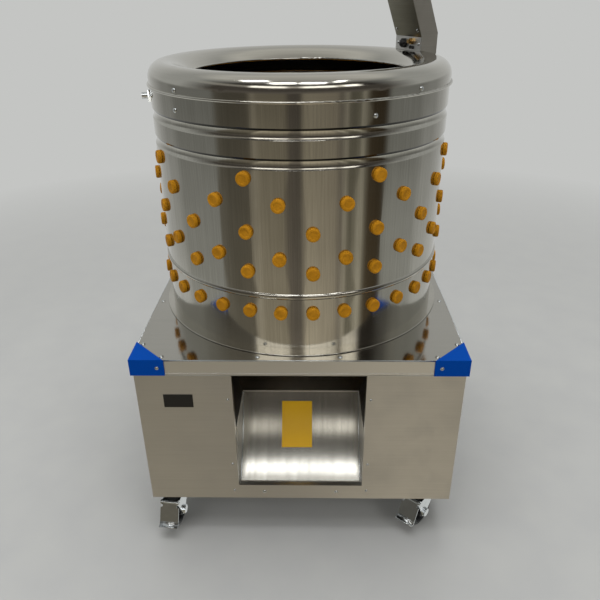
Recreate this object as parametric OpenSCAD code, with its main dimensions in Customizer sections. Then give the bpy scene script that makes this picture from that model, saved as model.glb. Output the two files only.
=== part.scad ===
// Drum poultry plucker on a wheeled square base.
// Origin on the floor under the drum axis, +Z up, feather outlet towards -Y.

/* [Base] */
// How far the square top plate reaches past the drum
base_margin = 27; // [25:1:45]
// Height from the underside of the panels to the top plate
base_h = 360; // [340:1:420]
// Height of the folded skirt of the top plate
skirt_h = 35; // [30:1:45]
// Thickness of the top plate and its skirt
skirt_t = 2; // [1.5:0.5:3]
// How far the hem at the foot of the skirt stands proud
hem_t = 0.8; // [0.5:0.1:1.5]
// Height of that hem
hem_h = 5; // [3:0.5:8]
// Thickness of panels, hopper and chute sheets
sheet_t = 1.5; // [1:0.1:2]
// Outside of the square frame tube
tube = 30; // [25:1:34]
// Wall of the frame tube
tube_t = 2; // [1.5:0.5:3]
// Width of the feather outlet in the front
outlet_w = 266; // [220:1:300]
// Height of the sill under the feather outlet
sill_h = 37; // [34:1:50]
// Depth of the folded edges round the feather outlet
fold_d = 12; // [8:1:20]
// Height of the feather chute above the sill
chute_h = 147; // [135:1:160]
// Depth of the feather chute
chute_depth = 128; // [120:1:150]
// Slope of the chute at the sill, in degrees
chute_rise = 28; // [20:1:32]
// Length of a vent slot in the rear panel
slot_l = 90; // [50:1:110]
// Height of a vent slot
slot_h = 6; // [4:1:8]
// Number of vent slots in each of the two columns
slot_n = 6; // [3:1:8]

/* [Corner guards] */
// Length of each leg of a corner guard
guard_l = 68; // [50:1:90]
// Thickness of a corner guard
guard_t = 2; // [1.5:0.5:3]
// Depth of a corner guard's sides
guard_h = 34; // [28:1:34]

/* [Drum] */
// Outer radius of the drum
drum_r = 300; // [285:1:305]
// Height of the drum wall above the top plate
drum_h = 484; // [480:1:500]
// Wall of the drum
drum_t = 2; // [1.5:0.5:2.5]
// Radius of the rolled bead
bead_r = 7; // [6:0.5:9]
// How far the bead stands out of the wall
bead_out = 3; // [2:0.5:4]
// Height of the bead, as a part of the drum's height
bead_part = 0.252; // [0.24:0.002:0.27]
// Height of a rolled groove
groove_h = 20; // [16:1:22]
// Depth of a rolled groove
groove_d = 3.5; // [2.5:0.1:4]
// Drop of the upper groove below the drum's top edge
groove_drop = 63; // [60:1:70]
// Room between the lower groove and the finger heads under it
groove_room = 3; // [2:0.5:6]
// Width of the foot flange
flange_w = 12; // [8:1:16]
// Thickness of the foot flange
flange_t = 2.5; // [2:0.5:4]

/* [Rim cover] */
// How far the rim cover laps over the drum wall
rim_overlap = 12; // [10:1:16]
// Sheet of the rim cover
rim_t = 1.5; // [1:0.1:2]
// Radius of the rim's outer shoulder
shoulder_r = 29; // [26:1:32]
// Radius of the rim's inner slope
slope_r = 64; // [60:1:74]
// Width of the rim, from the drum wall to the loading mouth
rim_w = 78; // [72:1:84]
// Radius of the rolled lips
lip_r = 2.5; // [2:0.1:3]

/* [Fingers] */
// Number of finger columns round the drum
columns = 31; // [27:2:33]
// Angle of the middle column from the front
column_phase = 5.25; // [0:0.25:11]
// Heights of the six finger rows, as parts of the drum's height
row_part = [0.7128, 0.6198, 0.5103, 0.4091, 0.3512, 0.1818];
// Diameter of a finger head
head_d = 26; // [22:0.5:28]
// Thickness of a finger head
head_t = 8; // [6:0.5:10]
// Diameter of the neck in the wall
neck_d = 18; // [15:0.5:19]
// Diameter of the collar behind the wall
collar_d = 24; // [21:0.5:25]
// Thickness of that collar
collar_t = 5; // [4:0.5:7]
// Length of the ribbed shank
shank_l = 72; // [60:1:76]
// Diameter of the shank at the collar
shank_d = 19; // [16:0.5:20]
// Diameter of the shank at its tip
tip_d = 13; // [10:0.5:15]
// Number of ribs on the shank
ribs = 6; // [3:1:8]
// Width of a rib
rib_w = 4; // [3:0.5:5]
// How far a rib stands out
rib_out = 1.5; // [1:0.1:2]

/* [Feather plate] */
// Gap between the spinning feather plate and the drum wall
feather_gap = 14; // [12:1:24]
// Thickness of the feather plate
plate_t = 4; // [3:0.5:5]
// Height of the feather plate's underside above the top plate
plate_lift = 10; // [9:1:14]
// Radii of the finger rings, as parts of the plate's radius
ring_part = [0.67, 0.465, 0.268];
// Fingers in each of those rings
ring_n = [12, 8, 4];
// Radius of the hub
hub_r = 36; // [32:1:42]
// Height of the hub above the plate
boss_h = 8; // [6:1:12]
// How far the hub reaches below the plate
hub_drop = 20; // [16:1:24]

/* [Drive] */
// Diameter of the main shaft
shaft_d = 25; // [20:1:30]
// Pitch radius of the driven pulley
driven_r = 100; // [80:1:110]
// Pitch radius of the drive pulley
drive_r = 30; // [28:1:36]
// Distance of the motor axis from the rear edge of the top plate
motor_in = 117; // [112:1:122]
// Diameter of the motor body
motor_d = 130; // [110:1:140]
// Length of the motor body
motor_l = 170; // [140:1:185]
// Diameter of the motor shaft
motor_shaft_d = 19; // [14:1:24]
// Width of the belt at its back
belt_w = 13; // [10:0.5:14]
// Thickness of the belt
belt_t = 8; // [6:0.5:9]
// Width of a pulley
pulley_w = 20; // [18:1:22]
// Width of a bearing unit's square flange
bearing_w = 116; // [112:1:130]
// Thickness of that flange
bearing_t = 12; // [10:1:14]
// Radius of a bearing unit's round body
bearing_r = 32; // [28:1:36]
// How far that body stands out of the flange
bearing_boss = 14; // [10:1:18]

/* [Water] */
// Drop of the spray ring below the drum's top edge
spray_drop = 35; // [32:1:38]
// Radius of the spray tube
spray_r = 8; // [6:0.5:9]
// Gap between the spray tube and the drum wall
spray_gap = 6; // [5:0.5:10]
// Number of spray holes
spray_holes = 24; // [12:1:36]
// Number of ring clips
clips = 5; // [3:1:6]
// Angle of the water inlet from the front
inlet_a = -79; // [-100:1:-70]
// Diameter of the hose spigot
spigot_d = 13; // [10:0.5:16]
// Length of the hose spigot past its nut
spigot_l = 12; // [10:1:30]
// Bore of the water inlet
inlet_bore = 8; // [6:0.5:9]

/* [Control box] */
// Angle of the control box, from the back towards the right
box_a = 63; // [50:1:75]
// How far its inner face stands inside the drum wall
box_in = 38; // [34:1:40]
// Width of the control box
box_w = 92; // [84:1:110]
// Depth of the control box
box_d = 42; // [40:1:50]
// Height of the upright neck above the rim's crest
neck_h = 27; // [25:1:46]
// Length of the leaning part
box_l = 190; // [170:1:220]
// Lean of the upper part towards the drum
lean = 22; // [15:1:28]
// Sheet of the control box
box_t = 1.5; // [1:0.1:2]
// Places of the buttons, as parts of the leaning length
button_part = [0.21, 0.442, 0.737];
// Diameter of a push button
button_d = 20; // [16:0.5:22]
// Travel of a push button
button_travel = 4; // [2:0.5:5]
// Diameter of the emergency stop's head
stop_head_d = 40; // [32:1:44]

/* [Casters] */
// Height of a caster
caster_h = 100; // [98:1:110]
// Distance of a swivel axis from the sides of the top plate
caster_side = 43; // [43:1:55]
// Distance of a front swivel axis from the front of the top plate
caster_end = 59; // [45:1:64]
// Distance of a rear swivel axis from the rear of the top plate
caster_back = 51; // [45:1:59]
// Diameter of a caster wheel
wheel_d = 75; // [65:1:76]
// Width of a caster wheel
wheel_w = 28; // [24:1:30]
// Offset of the wheel axle from the swivel axis
trail = 28; // [20:1:32]
// Diameter of a wheel axle
axle_d = 12; // [8:1:14]
// Side of the caster's top plate
caster_plate_w = 78; // [70:1:78]
// Thickness of the fork sheet
fork_t = 3; // [2:0.5:4]
// Swivel angles at rest: front left, front right, rear left, rear right
swivel_rest = [173, 139, 8, -12];

/* [Hidden] */

steel = "#b9b6ae";
bright = "#d2d1cc";
dark_steel = "#74716b";
amber = "#c8870f";
blue = "#0a50b4";
black = "#1a1a1a";
brass = "#b98c46";
red = "#b01818";
green = "#1c8a3c";
yellow = "#e2b40c";

fine = 128;
mid = 64;
// Radial room of a running fit
run_fit = 0.05;
// Gap between still pieces that lie against each other
seat_gap = 0.2;
// Gap between moving pieces
move_gap = 0.5;
// Extra length of a cut
over = 1;

base_z = caster_h;
top_z = base_z + base_h;
half = drum_r + base_margin;
base_w = 2 * half;
panel_o = half - skirt_t;
panel_i = panel_o - sheet_t;
frame_i = panel_i - tube;
under_z = top_z - skirt_t;
plate_lap = 4;
rail_z = under_z - tube;
outlet_top = top_z - skirt_h;
sill_z = base_z + sill_h;

// Frame bars, and where they lie
bar_l = 2 * (frame_i - seat_gap);
bridge_y = bearing_w / 2;
motor_y = half - motor_in;
motor_bar = motor_d / 2 + tube / 2;
bed_l = 2 * (panel_i - seat_gap);
bed_z = base_z + tube + seat_gap;
bed_top = bed_z + tube;

// Hopper and chute
hopper_foot = sill_z + chute_h;
chute_front = -panel_i + fold_d;
chute_back = chute_front + chute_depth;
chute_x = outlet_w / 2;
hopper_half = panel_i - seat_gap;
hopper_front = chute_front + seat_gap;
scoop_foot = sill_z + seat_gap + sheet_t;
scoop_z = hopper_foot - seat_gap - scoop_foot;
scoop_end = 2 * atan2(scoop_z, chute_depth) - chute_rise;
scoop_r = chute_depth / (sin(scoop_end) - sin(chute_rise));
scoop_c = [chute_front - scoop_r * sin(chute_rise), scoop_foot + scoop_r * cos(chute_rise)];

// Guards
guard_o = half + hem_t + guard_t;

// Screws through sheet
bolt_d = 5;
screw_d = 9;
screw_h = 3;
small_screw_d = 7;
small_screw_h = 2;

// Drum and rim
drum_i = drum_r - drum_t;
rim_fit = 0.3;
rim_i = drum_r + rim_fit;
rim_o = rim_i + rim_t;
crest_r = rim_o - shoulder_r;
mouth_r = drum_r - rim_w;
rim_z = drum_h - rim_overlap;
shoulder_z = drum_h + over;
crest_z = shoulder_z + shoulder_r;
rim_screw_z = rim_z + 2 / 3 * rim_overlap;

// Fingers
side_columns = (columns - 1) / 2;
finger_fit = 0.2;
head_round = 3;
collar_gap = collar_d * collar_d / (8 * drum_i) + seat_gap;
rib_pitch = shank_l / (ribs + 0.5);
row_z = row_part * drum_h;
bead_z = bead_part * drum_h;
// The lower groove lies just above the first finger row
groove_z = [row_z[0] + (head_d + groove_h) / 2 + groove_room, drum_h - groove_drop];
groove_r = (groove_h * groove_h / 4 + groove_d * groove_d) / (2 * groove_d);

// Feather plate and drive
plate_r = drum_i - feather_gap;
disc_z = top_z + plate_lift;
hub_z = disc_z - hub_drop;
pulley_foot = 4;
pulley_z = base_z + pulley_foot;
shaft_foot = base_z + pulley_foot / 2;
motor_seat = 40;
pulley_mid = pulley_z + pulley_w / 2;
groove_gap = 0.5;
groove_a = 17;
motor_plate_t = 8;
motor_z = bed_top + motor_plate_t;
shaft_clear = 18;

// Spray ring
spray_z = drum_h - spray_drop;
spray_ring_r = drum_i - spray_gap - spray_r;
clip_t = 3;
clip_w = 14;
clip_leg = 16;
clip_z = spray_z - spray_r - clip_t - seat_gap / 2;
clip_bolt_z = clip_z + clip_leg / 2;
spray_open = 20;

// Control box
bend_z = crest_z + neck_h;
box_r = drum_r - box_in;
box_o = box_r + box_d;
outer_bend = bend_z + box_d * tan(lean / 2);
box_lap = 14;
box_foot = rim_z + box_lap;
button_at = button_part * box_l;
button_hole = button_d + 2;
bezel_h = 5;
bezel_w = 4;
button_depth = 12;
collar_h = 3;

// Casters
race_h = 6;
race_r = 22;
mount_t = 4;
crown_r = 26;
crown_h = 7;
crown_z = caster_h - mount_t - race_h - move_gap;
king_d = 12;
axle_z = wheel_d / 2;
hub_side = 3;
fork_gap = wheel_w + 2 * hub_side;
pedal_reach = 26;
pedal_y = trail + pedal_reach;
pedal_t = 2;
pedal_z = crown_z - crown_h - pedal_t;
pedal_pin_d = 6;
pedal_w = 42;
pedal_l = 48;
pedal_drop = 66;

// Placing helpers

module around(a, r, z) {
  rotate([0, 0, a]) translate([0, -r, z]) children();
}

module radial(a, r, z) {
  around(a, r, z) rotate([-90, 0, 0]) children();
}

module four() {
  for (a = [0:90:270]) rotate([0, 0, a]) children();
}

module at_box() {
  rotate([0, 0, -box_a]) translate([0, 0, top_z]) children();
}

// On the leaning outer face of the control box, s up the slope, +Z pointing out
module on_panel(s) {
  at_box() translate([0, box_o - s * sin(lean), outer_bend + s * cos(lean)])
    rotate([lean - 90, 0, 0]) children();
}

// On the upright inner face of the box's neck, +Z pointing to the drum axis
module on_neck(x, z) {
  at_box() translate([x, box_r, z]) rotate([90, 0, 0]) children();
}

// On the leaning inner face of the box, s up the slope, +Z pointing out of the face
module on_cover(x, s) {
  at_box() translate([x, box_r - s * sin(lean), bend_z + s * cos(lean)])
    rotate([90 + lean, 0, 0]) children();
}

module at_caster(i) {
  translate([(i % 2 == 0 ? -1 : 1) * (half - caster_side), i < 2 ? caster_end - half : half - caster_back, 0])
    rotate([0, 0, swivel_rest[i]]) children();
}

// A profile drawn in Y and Z, extruded along X about the middle
module across(w) {
  translate([-w / 2, 0, 0]) rotate([90, 0, 90]) linear_extrude(w) children();
}

// Domed head with its flat side at z = 0
module dome_head(d, h) {
  r = (d * d / 4 + h * h) / (2 * h);
  intersection() {
    translate([0, 0, h - r]) sphere(r, $fn = mid);
    cylinder(d = d, h = h, $fn = mid);
  }
}

// Base

module tube_bar(l) {
  difference() {
    translate([-l / 2, -tube / 2, 0]) cube([l, tube, tube]);
    translate([-l / 2 - over, -tube / 2 + tube_t, tube_t])
      cube([l + 2 * over, tube - 2 * tube_t, tube - 2 * tube_t]);
  }
}

module frame_posts() {
  color(dark_steel) four() translate([frame_i + tube / 2, frame_i + tube / 2, base_z]) difference() {
    translate([-tube / 2, -tube / 2, 0]) cube([tube, tube, base_h - skirt_t]);
    translate([-tube / 2 + tube_t, -tube / 2 + tube_t, -over])
      cube([tube - 2 * tube_t, tube - 2 * tube_t, base_h + 2 * over]);
  }
}

module frame_rails() {
  color(dark_steel) {
    four() for (z = [base_z, rail_z]) translate([0, frame_i + tube / 2, z]) tube_bar(bar_l);
    for (y = [-bridge_y, bridge_y]) translate([0, y, rail_z]) tube_bar(bar_l);
    for (y = [-bridge_y, bridge_y, motor_y - motor_bar]) translate([0, y, bed_z]) tube_bar(bed_l);
    translate([0, motor_y + motor_bar, bed_z]) tube_bar(bar_l);
  }
}

module top_plate() {
  color(steel) difference() {
    union() {
      translate([-half, -half, top_z - skirt_h]) cube([base_w, base_w, skirt_h]);
      translate([-half - hem_t, -half - hem_t, top_z - skirt_h])
        cube([base_w + 2 * hem_t, base_w + 2 * hem_t, hem_h]);
    }
    translate([-panel_o, -panel_o, top_z - skirt_h - over])
      cube([2 * panel_o, 2 * panel_o, skirt_h + over - skirt_t]);
    translate([0, 0, top_z - skirt_h]) cylinder(r = drum_i - plate_lap, h = skirt_h + over, $fn = fine);
  }
}

// Right-hand front panel, drawn at +X
module front_panel() {
  x0 = outlet_w / 2;
  translate([x0, -panel_o, base_z]) cube([panel_o - x0, sheet_t, base_h - skirt_t]);
  translate([x0, -panel_i, sill_z]) cube([sheet_t, fold_d, rail_z - sill_z - seat_gap]);
}

module front_panel_right() {
  color(steel) front_panel();
}

module front_panel_left() {
  color(steel) mirror([1, 0, 0]) front_panel();
}

module front_sill() {
  color(steel) across(outlet_w) {
    translate([-panel_o, base_z]) square([sheet_t, sill_h]);
    translate([-panel_o, sill_z - sheet_t]) square([sheet_t + fold_d, sheet_t]);
  }
}

module side_panel() {
  translate([panel_i, -panel_i, base_z]) cube([sheet_t, 2 * panel_i, base_h - skirt_t]);
}

module side_panel_right() {
  color(steel) side_panel();
}

module side_panel_left() {
  color(steel) mirror([1, 0, 0]) side_panel();
}

module rear_panel() {
  slot_pitch = 3 * slot_h;
  color(steel) difference() {
    translate([-panel_o, panel_i, base_z]) cube([2 * panel_o, sheet_t, base_h - skirt_t]);
    for (x = [-slot_l, slot_l], i = [0:slot_n - 1])
      translate([x - slot_l / 2, panel_i - over, base_z + 2 * tube + i * slot_pitch]) {
        cube([slot_l, sheet_t + 2 * over, slot_h]);
        for (e = [0, slot_l]) translate([e, 0, slot_h / 2]) rotate([-90, 0, 0])
          cylinder(d = slot_h, h = sheet_t + 2 * over, $fn = mid);
      }
  }
}

module hopper_body() {
  thin = 0.01;
  hull() {
    translate([-chute_x, hopper_front, hopper_foot]) cube([2 * chute_x, chute_back - hopper_front, thin]);
    translate([-hopper_half, hopper_front, rail_z - seat_gap])
      cube([2 * hopper_half, hopper_half - hopper_front, thin]);
  }
}

module feather_hopper() {
  color(steel) difference() {
    hopper_body();
    translate([0, 0, 2 * sheet_t]) hopper_body();
    translate([sheet_t - chute_x, hopper_front - over, hopper_foot - over])
      cube([2 * (chute_x - sheet_t), chute_back - hopper_front + over - sheet_t, 2 * (sheet_t + over)]);
    four() translate([frame_i - seat_gap, frame_i - seat_gap, base_z]) cube([2 * tube, 2 * tube, base_h]);
    cylinder(r = shaft_d / 2 + shaft_clear, h = top_z, $fn = mid);
  }
}

module feather_chute() {
  color(bright) {
    across(2 * chute_x) intersection() {
      difference() {
        translate(scoop_c) circle(scoop_r + sheet_t, $fn = 360);
        translate(scoop_c) circle(scoop_r, $fn = 360);
      }
      translate([chute_front, base_z]) square([chute_depth, hopper_foot - seat_gap - base_z]);
    }
    for (x = [-1, 1]) translate([x * (chute_x - sheet_t / 2), 0, 0]) across(sheet_t) intersection() {
      translate(scoop_c) circle(scoop_r + sheet_t, $fn = 360);
      translate([chute_front, base_z]) square([chute_depth, hopper_foot - seat_gap - base_z]);
    }
  }
}

module corner_guard() {
  i = half + hem_t;
  translate([0, 0, top_z]) linear_extrude(guard_t)
    polygon([[-guard_o, -guard_o], [guard_l - guard_o, -guard_o], [-guard_o, guard_l - guard_o]]);
  translate([-guard_o, -guard_o, top_z - guard_h]) cube([guard_l, guard_o - i, guard_h]);
  translate([-guard_o, -guard_o, top_z - guard_h]) cube([guard_o - i, guard_l, guard_h]);
}

module corner_guards() {
  color(blue) four() corner_guard();
}

module rivets() {
  rivet_d = 8;
  rivet_h = 2;
  guard_in = 14;
  seam_in = 10;
  rise = 60;
  sill_x = 78;
  guard_x = guard_o - guard_l + guard_in;
  seam_x = outlet_w / 2 + seam_in;
  color(bright) {
    four() for (x = [-guard_x, guard_x])
      translate([x, -guard_o, top_z - guard_h / 2]) rotate([90, 0, 0]) dome_head(rivet_d, rivet_h);
    for (x = [-seam_x, seam_x], z = [sill_z - tube / 2, sill_z + rise, outlet_top - rise])
      translate([x, -panel_o, z]) rotate([90, 0, 0]) dome_head(0.7 * rivet_d, rivet_h);
    for (x = [-sill_x, sill_x])
      translate([x, -panel_o, base_z + sill_h / 2]) rotate([90, 0, 0]) dome_head(rivet_d, rivet_h);
  }
}

module plate_screws() {
  edge = 12;
  near = 80;
  past_guard = 6;
  far = guard_o - guard_l + past_guard;
  color(bright) four() for (x = [-far, -near, near, far])
    translate([x, edge - half, top_z]) dome_head(screw_d, screw_h);
}

// Drum and rim

module drum_profile() {
  difference() {
    union() {
      translate([drum_i, 0]) square([drum_t, drum_h]);
      translate([drum_i, 0]) square([drum_t + flange_w, flange_t]);
      intersection() {
        translate([drum_r + bead_out - bead_r, bead_z]) circle(bead_r, $fn = mid);
        translate([drum_i, bead_z - bead_r]) square([bead_r + drum_t, 2 * bead_r]);
      }
      for (z = groove_z) intersection() {
        translate([drum_r - groove_d + groove_r, z]) circle(groove_r + drum_t, $fn = fine);
        translate([drum_i - groove_h, z - groove_h]) square([groove_h + drum_t / 2, 2 * groove_h]);
      }
    }
    translate([drum_r + bead_out - bead_r, bead_z]) circle(bead_r - drum_t, $fn = mid);
    for (z = groove_z) translate([drum_r - groove_d + groove_r, z]) circle(groove_r, $fn = fine);
  }
}

module drum() {
  cut = 4 * drum_t + 2 * bead_out;
  color(bright) translate([0, 0, top_z]) difference() {
    rotate_extrude($fn = 2 * fine) drum_profile();
    for (row = [0:5], k = row_columns(row)) radial(column_angle(k), drum_r + cut / 2, row_z[row])
      cylinder(d = neck_d + 2 * finger_fit, h = cut, $fn = mid);
    for (a = [45:90:315]) radial(a, drum_r + cut / 2, rim_screw_z)
      cylinder(d = bolt_d + 2 * finger_fit, h = cut, $fn = mid);
    for (i = [0:clips - 1]) radial(clip_angle(i), drum_r + cut / 2, clip_bolt_z)
      cylinder(d = bolt_d + 2 * finger_fit, h = cut, $fn = mid);
    radial(inlet_a, drum_r + cut / 2, spray_z)
      cylinder(d = spigot_d + 2 * finger_fit, h = cut, $fn = mid);
  }
}

function row_columns(row) = row == 0 ? [1 - side_columns:4:side_columns - 1]
  : row == 5 ? [-side_columns:1:side_columns]
  : row % 2 == 1 ? [-side_columns:2:side_columns] : [1 - side_columns:2:side_columns - 1];
function column_angle(k) = column_phase + k * 360 / columns;
function clip_angle(i) = 26 - i * 360 / clips;

// Filled section of the rim cover, moved in by d
module rim_section(d) {
  intersection() {
    translate([crest_r, shoulder_z]) circle(shoulder_r - d, $fn = fine);
    translate([crest_r, shoulder_z]) square(shoulder_r + slope_r);
  }
  translate([crest_r, rim_z - (d > 0 ? over : 0)])
    square([shoulder_r - d, shoulder_z - rim_z + (d > 0 ? over : 0)]);
  intersection() {
    translate([crest_r, crest_z - slope_r]) circle(slope_r - d, $fn = fine);
    translate([mouth_r - (d > 0 ? over : 0), rim_z - (d > 0 ? over : 0)])
      square([crest_r - mouth_r + (d > 0 ? over : 0), slope_r + shoulder_r]);
  }
}

module rim_cover() {
  mouth_z = crest_z - slope_r + sqrt(pow(slope_r, 2) - pow(crest_r - mouth_r, 2));
  color(bright) translate([0, 0, top_z]) difference() {
    rotate_extrude($fn = 2 * fine) {
      difference() {
        rim_section(0);
        rim_section(rim_t);
      }
      translate([rim_i + lip_r, rim_z]) circle(lip_r, $fn = mid);
      translate([mouth_r + lip_r / 2, mouth_z - lip_r / 2]) circle(lip_r, $fn = mid);
    }
    for (a = [45:90:315]) radial(a, rim_o + over, rim_screw_z)
      cylinder(d = bolt_d + 2 * finger_fit, h = rim_t + 4 * over, $fn = mid);
  }
}

module rim_screws() {
  screw_l = 12;
  color(bright) for (a = [45:90:315]) radial(a, rim_o + seat_gap, top_z + rim_screw_z) {
    mirror([0, 0, 1]) dome_head(screw_d, screw_h);
    cylinder(d = bolt_d, h = screw_l, $fn = mid);
  }
}

// Fingers

function shank_r(s) = (shank_d - (shank_d - tip_d) * s / shank_l) / 2;

// One rubber finger: head below z = 0, wall of thickness t from z = 0, shank pointing up
module finger(t, gap) {
  c = t + gap;
  s0 = c + collar_t;
  r = head_d / 2;
  dish = 0.8;
  points = concat(
    [[0, dish - head_t], [r / 2, dish - head_t], [r / 2 + 2 * dish, -head_t]],
    [for (a = [0:30:90]) [r - head_round + head_round * sin(a), head_round - head_t - head_round * cos(a)]],
    [[r, -seat_gap], [neck_d / 2, -seat_gap], [neck_d / 2, c], [collar_d / 2, c], [collar_d / 2, s0]],
    [for (i = [0:ribs - 1], e = [0:3])
      let (s = (i + 0.5) * rib_pitch + [0, 0.25, 0.75, 1][e] * rib_w)
        [shank_r(s) + [0, rib_out, rib_out, 0][e], s0 + s]],
    [for (a = [0:30:90]) [tip_d / 2 * cos(a), s0 + shank_l + tip_d / 4 * sin(a)]]
  );
  rotate_extrude($fn = 48) polygon(points);
}

module drum_fingers(row) {
  color(amber) for (k = row_columns(row))
    radial(column_angle(k), drum_r, top_z + row_z[row]) finger(drum_t, collar_gap);
}

module drum_fingers_row_1() {
  drum_fingers(0);
}

module drum_fingers_row_2() {
  drum_fingers(1);
}

module drum_fingers_row_3() {
  drum_fingers(2);
}

module drum_fingers_row_4() {
  drum_fingers(3);
}

module drum_fingers_row_5() {
  drum_fingers(4);
}

module drum_fingers_row_6() {
  drum_fingers(5);
}

// Turned ring by ring, so that the rings sweep different paths
module on_plate_fingers() {
  for (i = [0:len(ring_n) - 1], j = [0:ring_n[i] - 1])
    rotate([0, 0, (j + i / 3) * 360 / ring_n[i]]) translate([ring_part[i] * plate_r, 0, disc_z]) children();
}

module plate_fingers() {
  color(amber) on_plate_fingers() finger(plate_t, seat_gap);
}

// Feather plate and its drive

module feather_plate() {
  color(bright) difference() {
    union() {
      translate([0, 0, disc_z]) cylinder(r = plate_r, h = plate_t, $fn = 2 * fine);
      translate([0, 0, disc_z]) cylinder(r = hub_r, h = plate_t + boss_h, $fn = fine);
      translate([0, 0, hub_z]) cylinder(r = hub_r - plate_t, h = disc_z - hub_z, $fn = fine);
    }
    translate([0, 0, hub_z - over]) cylinder(d = shaft_d + 2 * run_fit, h = top_z, $fn = mid);
    on_plate_fingers() translate([0, 0, -over])
      cylinder(d = neck_d + 2 * finger_fit, h = plate_t + 2 * over, $fn = mid);
  }
}

module main_shaft() {
  cap_z = disc_z + plate_t + boss_h;
  washer_t = 4;
  nut_d = 30;
  nut_h = 10;
  color(bright) {
    translate([0, 0, shaft_foot]) cylinder(d = shaft_d, h = cap_z - shaft_foot, $fn = mid);
    translate([0, 0, cap_z]) cylinder(r = hub_r - 2 * washer_t, h = washer_t, $fn = mid);
    translate([0, 0, cap_z + washer_t]) cylinder(d = nut_d, h = nut_h, $fn = 6);
  }
}

// Section of a V-groove pulley about the Y axis of the drawing, middle at y = 0
module pulley(r, bore_d, solid_web) {
  proud = 1;
  room = 1.5;
  hub_wall = 12;
  o = r + belt_t / 2 + proud;
  i = r - belt_t / 2 - room;
  w = pulley_w / 2;
  half_top = belt_w / 2 + groove_gap + proud * tan(groove_a);
  half_foot = half_top - (o - i) * tan(groove_a);
  hub = bore_d / 2 + hub_wall;
  web = solid_web ? w : 4;
  rim = solid_web ? 2 : 6;
  rotate_extrude($fn = fine) difference() {
    union() {
      translate([bore_d / 2 + run_fit, -w]) square([hub - bore_d / 2 - run_fit, 2 * w]);
      translate([hub - over, -web]) square([i - hub, 2 * web]);
      translate([i - rim, -w]) square([o - i + rim, 2 * w]);
    }
    polygon([[o + over, half_top + over * tan(groove_a)], [i, half_foot], [i, -half_foot],
      [o + over, -half_top - over * tan(groove_a)]]);
  }
}

module driven_pulley() {
  color(dark_steel) translate([0, 0, pulley_mid]) pulley(driven_r, shaft_d, false);
}

module drive_pulley() {
  color(dark_steel) translate([0, motor_y, pulley_mid]) pulley(drive_r, motor_shaft_d, true);
}

// Loop round both pulleys, a and b past the pitch radius at its foot and at its top
module belt_loop(a, b, h) {
  hull() {
    cylinder(r1 = driven_r + a, r2 = driven_r + b, h = h, $fn = fine);
    translate([0, motor_y, 0]) cylinder(r1 = drive_r + a, r2 = drive_r + b, h = h, $fn = fine);
  }
}

module v_belt() {
  back = belt_t / 2;
  land = 0.5;
  fall = (2 * back - land + over) * tan(groove_a);
  color(black) translate([0, 0, pulley_mid]) difference() {
    translate([0, 0, -belt_w / 2]) belt_loop(back, back, belt_w);
    translate([0, 0, -belt_w]) belt_loop(-back, -back, 2 * belt_w);
    for (m = [0, 1]) mirror([0, 0, m]) translate([0, 0, belt_w / 2 - fall])
      belt_loop(-back - over, back - land + over, fall + over * tan(groove_a));
  }
}

// Flanged bearing unit with its mounting face at z = 0 and its body from b to t
module bearing_unit(z0, b, t) {
  difference() {
    union() {
      translate([-bearing_w / 2, -bearing_w / 2, z0]) cube([bearing_w, bearing_w, bearing_t]);
      translate([0, 0, b]) cylinder(r = bearing_r, h = t - b, $fn = mid);
    }
    translate([0, 0, b - over]) cylinder(d = shaft_d + 2 * run_fit, h = t - b + 2 * over, $fn = mid);
  }
}

module upper_bearing() {
  color(dark_steel) bearing_unit(rail_z - bearing_t, rail_z - bearing_t - bearing_boss, rail_z + bearing_t);
}

module lower_bearing() {
  color(dark_steel) bearing_unit(bed_top, bed_top, bed_top + bearing_t + bearing_boss);
}

module bearing_bolts() {
  bolt_in = 14;
  bolt_w = 18;
  bolt_h = 7;
  reach = bearing_w / 2 - bolt_in;
  color(bright) for (x = [-reach, reach], y = [-reach, reach]) {
    translate([x, y, rail_z - bearing_t - bolt_h]) cylinder(d = bolt_w, h = bolt_h, $fn = 6);
    translate([x, y, bed_top + bearing_t]) cylinder(d = bolt_w, h = bolt_h, $fn = 6);
  }
}

module motor_plate() {
  side = 20;
  hole = 6;
  w = motor_d + 2 * side;
  l = 2 * motor_bar + tube;
  color(dark_steel) difference() {
    translate([-w / 2, motor_y - l / 2, bed_top]) cube([w, l, motor_plate_t]);
    translate([0, motor_y, base_z]) cylinder(d = motor_shaft_d + 2 * hole, h = base_h, $fn = mid);
  }
}

module motor_body() {
  foot_h = 10;
  foot_w = 7;
  fins = 20;
  fin_t = 3;
  fin_out = 6;
  cap_h = 24;
  cap_slope = 6;
  terminal = [34, 64, 70];
  terminal_in = 12;
  terminal_z = 50;
  color("#5c6a72") translate([0, motor_y, motor_z]) difference() {
    union() {
      cylinder(d = motor_d + 2 * foot_w, h = foot_h, $fn = fine);
      cylinder(d = motor_d - 2 * fin_out, h = motor_l - cap_h, $fn = fine);
      for (i = [0:fins - 1]) rotate([0, 0, i * 360 / fins])
        translate([0, -fin_t / 2, 0]) cube([motor_d / 2, fin_t, motor_l - cap_h - fin_t]);
      translate([0, 0, motor_l - cap_h]) cylinder(d = motor_d, h = cap_h - cap_slope, $fn = fine);
      translate([0, 0, motor_l - cap_slope])
        cylinder(d1 = motor_d, d2 = motor_d - 2 * cap_slope, h = cap_slope, $fn = fine);
      translate([motor_d / 2 - terminal_in, -terminal[1] / 2, terminal_z]) cube(terminal);
    }
    translate([0, 0, -over]) cylinder(d = motor_shaft_d + 2 * run_fit, h = motor_seat + over, $fn = mid);
  }
}

module motor_shaft() {
  color(bright) translate([0, motor_y, shaft_foot])
    cylinder(d = motor_shaft_d, h = motor_z + motor_seat - 2 - shaft_foot, $fn = mid);
}

// Water

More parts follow.
